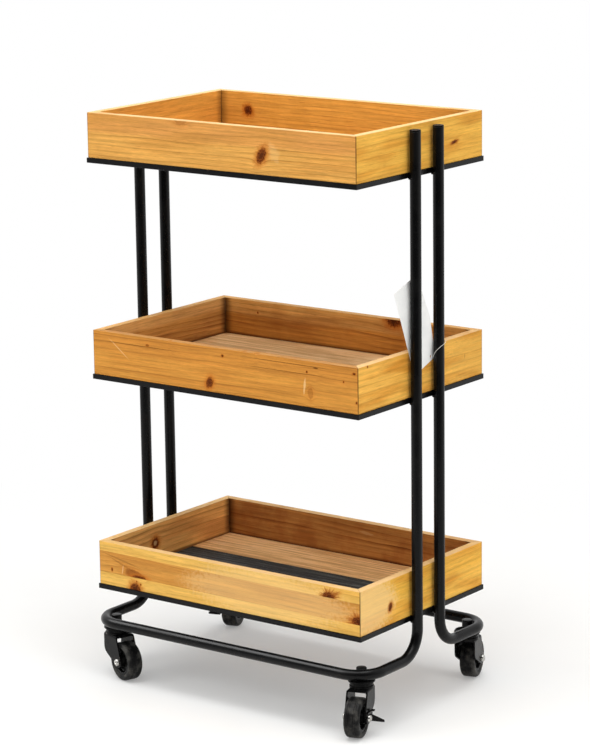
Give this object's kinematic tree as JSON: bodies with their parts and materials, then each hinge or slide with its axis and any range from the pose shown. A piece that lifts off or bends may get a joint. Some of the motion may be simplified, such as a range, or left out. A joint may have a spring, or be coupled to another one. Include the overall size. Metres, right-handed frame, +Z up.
{
  "type": "rolling shelf stand",
  "caption": "Rolling shelf stand: open mitred pine trays with steel rails on bent black tube hoops, on swivel castors with foot brakes.",
  "frame": {"origin": "on the floor, under the middle of the stand", "axes": "+Z up, +X along the long side of the trays towards the posts on the right, -Y the front"},
  "size_m": [0.4966, 0.3593, 0.807],
  "materials": {
    "black_tube": "satin black powder coat",
    "black_plastic": "moulded black plastic",
    "black_steel": "black painted stamped steel",
    "black_rubber": "matt black rubber",
    "pine": "honey-stained pine, satin varnish",
    "brown_floor": "weathered brown wood",
    "black_floor": "black-stained wood",
    "zinc": "bright zinc plate",
    "paper": "bare white card"
  },
  "bodies": {
    "frame": {"front_hoop": "black_tube", "front_left_castor_socket": "black_tube", "front_left_castor_stem": "black_steel", "front_left_post_cap": "black_plastic", "front_right_castor_socket": "black_tube", "front_right_castor_stem": "black_steel", "front_right_post_cap": "black_plastic", "lower_front_board": "pine", "lower_front_floor_plank": "black_floor", "lower_left_board": "pine", "lower_left_rail_screw": "zinc", "lower_rail": "black_tube", "lower_rear_board": "pine", "lower_rear_floor_plank": "brown_floor", "lower_right_board": "pine", "lower_right_rail_screw": "zinc", "middle_floor": "brown_floor", "middle_front_board": "pine", "middle_left_board": "pine", "middle_left_rail_screw": "zinc", "middle_rail": "black_tube", "middle_rear_board": "pine", "middle_right_board": "pine", "middle_right_rail_screw": "zinc", "rear_hoop": "black_tube", "rear_left_castor_socket": "black_tube", "rear_left_castor_stem": "black_steel", "rear_left_post_cap": "black_plastic", "rear_right_castor_socket": "black_tube", "rear_right_castor_stem": "black_steel", "rear_right_post_cap": "black_plastic", "swing_tag": "paper", "tag_loop": "paper", "top_floor": "brown_floor", "top_front_board": "pine", "top_left_board": "pine", "top_left_rail_screw": "zinc", "top_rail": "black_tube", "top_rear_board": "pine", "top_right_board": "pine", "top_right_rail_screw": "zinc"},
    "front_left_swivel": {"front_left_castor_fork": "black_steel", "front_left_castor_axle": "zinc"},
    "front_left_wheel": {"front_left_wheel_hub": "black_plastic", "front_left_tyre": "black_rubber"},
    "front_right_swivel": {"front_right_castor_fork": "black_steel", "front_right_castor_axle": "zinc"},
    "front_right_wheel": {"front_right_wheel_hub": "black_plastic", "front_right_tyre": "black_rubber"},
    "front_right_brake": {"front_right_brake_pedal": "black_steel"},
    "rear_right_swivel": {"rear_right_castor_fork": "black_steel", "rear_right_castor_axle": "zinc"},
    "rear_right_wheel": {"rear_right_wheel_hub": "black_plastic", "rear_right_tyre": "black_rubber"},
    "rear_left_swivel": {"rear_left_castor_fork": "black_steel", "rear_left_castor_axle": "zinc"},
    "rear_left_wheel": {"rear_left_wheel_hub": "black_plastic", "rear_left_tyre": "black_rubber"},
    "rear_left_brake": {"rear_left_brake_pedal": "black_steel"}
  },
  "joints": [
    {"name": "front_left_swivel", "type": "hinge", "parent": "frame", "child": "front_left_swivel", "pos_m": [-0.21256, -0.12826, 0.0762], "axis": [0, 0, 1], "continuous": true},
    {"name": "front_left_roll", "type": "hinge", "parent": "front_left_swivel", "child": "front_left_wheel", "pos_m": [-0.18987, -0.13608, 0.0275], "axis": [0.3256, 0.9455, 0], "continuous": true},
    {"name": "front_right_swivel", "type": "hinge", "parent": "frame", "child": "front_right_swivel", "pos_m": [0.21256, -0.12826, 0.0762], "axis": [0, 0, 1], "continuous": true},
    {"name": "front_right_roll", "type": "hinge", "parent": "front_right_swivel", "child": "front_right_wheel", "pos_m": [0.21998, -0.15109, 0.0275], "axis": [0.9511, 0.309, 0], "continuous": true},
    {"name": "front_right_brake", "type": "hinge", "parent": "front_right_swivel", "child": "front_right_brake", "pos_m": [0.21998, -0.15109, 0.0275], "axis": [0.9511, 0.309, 0], "range_deg": [-25, 0]},
    {"name": "rear_right_swivel", "type": "hinge", "parent": "frame", "child": "rear_right_swivel", "pos_m": [0.21256, 0.12826, 0.0762], "axis": [0, 0, 1], "continuous": true},
    {"name": "rear_right_roll", "type": "hinge", "parent": "rear_right_swivel", "child": "rear_right_wheel", "pos_m": [0.20555, 0.15121, 0.0275], "axis": [-0.9563, -0.2924, 0], "continuous": true},
    {"name": "rear_left_swivel", "type": "hinge", "parent": "frame", "child": "rear_left_swivel", "pos_m": [-0.21256, 0.12826, 0.0762], "axis": [0, 0, 1], "continuous": true},
    {"name": "rear_left_roll", "type": "hinge", "parent": "rear_left_swivel", "child": "rear_left_wheel", "pos_m": [-0.21998, 0.15109, 0.0275], "axis": [-0.9511, -0.309, 0], "continuous": true},
    {"name": "rear_left_brake", "type": "hinge", "parent": "rear_left_swivel", "child": "rear_left_brake", "pos_m": [-0.21998, 0.15109, 0.0275], "axis": [-0.9511, -0.309, 0], "range_deg": [-25, 0]}
  ]
}
